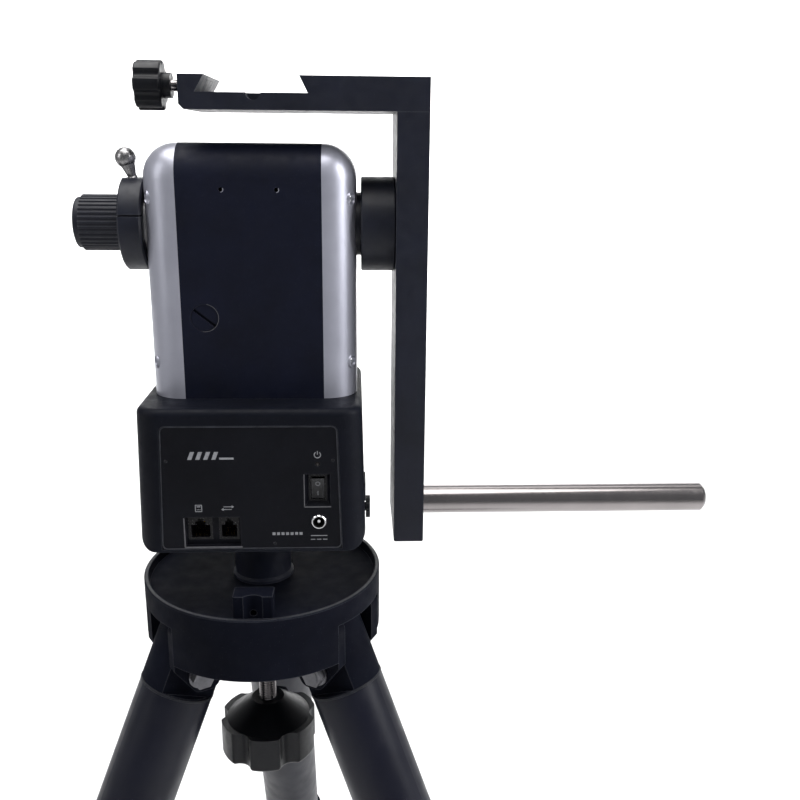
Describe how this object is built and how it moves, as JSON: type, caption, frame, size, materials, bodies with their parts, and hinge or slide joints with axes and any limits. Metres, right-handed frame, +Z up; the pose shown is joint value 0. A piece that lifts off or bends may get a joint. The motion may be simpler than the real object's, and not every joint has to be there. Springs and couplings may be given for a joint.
{
  "type": "star tracker mount",
  "caption": "Motorised alt-azimuth star tracker mount: two-axis drive head on a powered base, L-bracket with dovetail saddle and counterweight shaft, folding tripod.",
  "frame": {"origin": "where the azimuth axis meets the seat of the dovetail saddle", "axes": "+X along the altitude axis towards the bracket and the counterweight shaft, +Y to the back, +Z up along the azimuth axis"},
  "size_m": [0.6251, 0.5398, 1],
  "materials": {
    "anodised_black": "satin black anodised plate",
    "head_black": "matte fine-textured black paint",
    "silver_shell": "satin metallic silver paint",
    "housing_black": "moulded black with a fine spark texture",
    "panel_black": "smooth satin black panel",
    "knob_black": "moulded black hand knob",
    "tripod_cast": "moulded glass-filled black",
    "tube_black": "satin blue-black paint",
    "stainless": "turned stainless steel",
    "chrome": "polished",
    "zinc_steel": "zinc-plated fasteners",
    "black_steel": "black-oxide socket screws",
    "cast_alloy": "as-cast alloy",
    "gear_brass": "machined brass",
    "jack_black": "gloss moulded jack",
    "rocker_black": "satin rocker",
    "led_red": "dark diffused lens, unlit",
    "battery": "shrink-wrapped cells",
    "motor_case": "plated can",
    "foot_rubber": "moulded rubber",
    "lower_tube": "clear anodised tube"
  },
  "bodies": {
    "tripod_head": {"tripod_dish": "tripod_cast", "alignment_block": "tripod_cast", "hinge_bolts": "zinc_steel", "azimuth_post": "anodised_black", "az_worm_wheel": "gear_brass"},
    "center_screw": {"center_bolt": "stainless", "center_knob": "knob_black"},
    "azimuth_unit": {"base_housing": "housing_black", "base_plate": "cast_alloy", "control_panel": "panel_black", "handbox_jack": "jack_black", "serial_jack": "jack_black", "power_jack": "chrome", "power_led": "led_red", "switch_frame": "jack_black", "panel_screws": "black_steel", "battery_pack": "battery", "drive_worms": "zinc_steel", "drive_motors": "motor_case", "head_frame": "cast_alloy", "left_shell": "silver_shell", "right_shell": "silver_shell", "cover_band": "head_black", "cover_screws": "zinc_steel", "sight_plug": "head_black", "alt_bearings": "zinc_steel"},
    "power_switch": {"power_rocker": "rocker_black"},
    "azimuth_clutch": {"az_clutch_knob": "knob_black"},
    "altitude_unit": {"alt_shaft": "zinc_steel", "alt_worm_wheel": "gear_brass", "hub_adapter": "anodised_black", "vertical_bar": "anodised_black", "saddle_bar": "anodised_black", "bracket_screws": "black_steel", "counterweight_shaft": "stainless"},
    "altitude_clutch": {"clamp_ring": "anodised_black", "alt_lever": "chrome"},
    "altitude_knob": {"end_knob": "anodised_black"},
    "clamp_jaw": {"clamp_pad": "anodised_black"},
    "clamp_screw": {"saddle_screw": "stainless", "saddle_knob": "knob_black"},
    "leg_1": {"leg_cap_1": "tripod_cast", "leg_tube_1": "tube_black", "leg_collar_1": "tripod_cast"},
    "leg_extension_1": {"lower_tube_1": "lower_tube", "foot_1": "foot_rubber"},
    "leg_lock_1": {"lock_knob_1": "knob_black"},
    "leg_2": {"leg_cap_2": "tripod_cast", "leg_tube_2": "tube_black", "leg_collar_2": "tripod_cast"},
    "leg_extension_2": {"lower_tube_2": "lower_tube", "foot_2": "foot_rubber"},
    "leg_lock_2": {"lock_knob_2": "knob_black"},
    "leg_3": {"leg_cap_3": "tripod_cast", "leg_tube_3": "tube_black", "leg_collar_3": "tripod_cast"},
    "leg_extension_3": {"lower_tube_3": "lower_tube", "foot_3": "foot_rubber"},
    "leg_lock_3": {"lock_knob_3": "knob_black"}
  },
  "joints": [
    {"name": "azimuth", "type": "hinge", "parent": "tripod_head", "child": "azimuth_unit", "pos_m": [0, 0, -0.27], "axis": [0, 0, 1], "continuous": true},
    {"name": "altitude", "type": "hinge", "parent": "azimuth_unit", "child": "altitude_unit", "pos_m": [0, 0, -0.0795], "axis": [1, 0, 0], "range_deg": [-90, 90]},
    {"name": "altitude_clutch_turn", "type": "hinge", "parent": "azimuth_unit", "child": "altitude_clutch", "pos_m": [-0.0727, 0, -0.0795], "axis": [1, 0, 0], "range_deg": [0, 45]},
    {"name": "altitude_knob_turn", "type": "hinge", "parent": "altitude_unit", "child": "altitude_knob", "pos_m": [-0.1, 0, -0.0795], "axis": [1, 0, 0], "range_deg": [0, 720]},
    {"name": "azimuth_clutch_turn", "type": "hinge", "parent": "azimuth_unit", "child": "azimuth_clutch", "pos_m": [0.07, -0.025, -0.268], "axis": [1, 0, 0], "range_deg": [0, 270]},
    {"name": "power_rocker_tilt", "type": "hinge", "parent": "azimuth_unit", "child": "power_switch", "pos_m": [0.0425, -0.0543, -0.2422], "axis": [1, 0, 0], "range_deg": [-14, 0]},
    {"name": "clamp_travel", "type": "slide", "parent": "altitude_unit", "child": "clamp_jaw", "axis": [1, 0, 0], "range_m": [0, 0.004]},
    {"name": "saddle_knob_turn", "type": "hinge", "parent": "clamp_jaw", "child": "clamp_screw", "pos_m": [-0.06, 0, 0.005], "axis": [1, 0, 0], "range_deg": [0, 1440]},
    {"name": "center_knob_turn", "type": "hinge", "parent": "tripod_head", "child": "center_screw", "pos_m": [0, 0, -0.44], "axis": [0, 0, 1], "continuous": true},
    {"name": "leg_fold_1", "type": "hinge", "parent": "tripod_head", "child": "leg_1", "pos_m": [-0.05239, -0.03025, -0.379], "axis": [0.5, -0.866, 0], "range_deg": [0, 18.5]},
    {"name": "leg_slide_1", "type": "slide", "parent": "leg_1", "child": "leg_extension_1", "axis": [-0.3453, -0.1994, -0.9171], "range_m": [0, 0.28]},
    {"name": "leg_lock_turn_1", "type": "hinge", "parent": "leg_1", "child": "leg_lock_1", "pos_m": [-0.21142, -0.12206, -0.71353], "axis": [-0.7942, -0.4585, 0.3987], "range_deg": [0, 360]},
    {"name": "leg_fold_2", "type": "hinge", "parent": "tripod_head", "child": "leg_2", "pos_m": [0.05239, -0.03025, -0.379], "axis": [0.5, 0.866, 0], "range_deg": [0, 18.5]},
    {"name": "leg_slide_2", "type": "slide", "parent": "leg_2", "child": "leg_extension_2", "axis": [0.3453, -0.1994, -0.9171], "range_m": [0, 0.28]},
    {"name": "leg_lock_turn_2", "type": "hinge", "parent": "leg_2", "child": "leg_lock_2", "pos_m": [0.21142, -0.12206, -0.71353], "axis": [0.7942, -0.4585, 0.3987], "range_deg": [0, 360]},
    {"name": "leg_fold_3", "type": "hinge", "parent": "tripod_head", "child": "leg_3", "pos_m": [0, 0.0605, -0.379], "axis": [-1, 0, 0], "range_deg": [0, 18.5]},
    {"name": "leg_slide_3", "type": "slide", "parent": "leg_3", "child": "leg_extension_3", "axis": [0, 0.3987, -0.9171], "range_m": [0, 0.28]},
    {"name": "leg_lock_turn_3", "type": "hinge", "parent": "leg_3", "child": "leg_lock_3", "pos_m": [0, 0.24412, -0.71353], "axis": [0, 0.9171, 0.3987], "range_deg": [0, 360]}
  ],
  "couplings": [
    {"joint": "saddle_knob_turn", "follows": "clamp_travel", "rad_per_m": 6283.2}
  ]
}
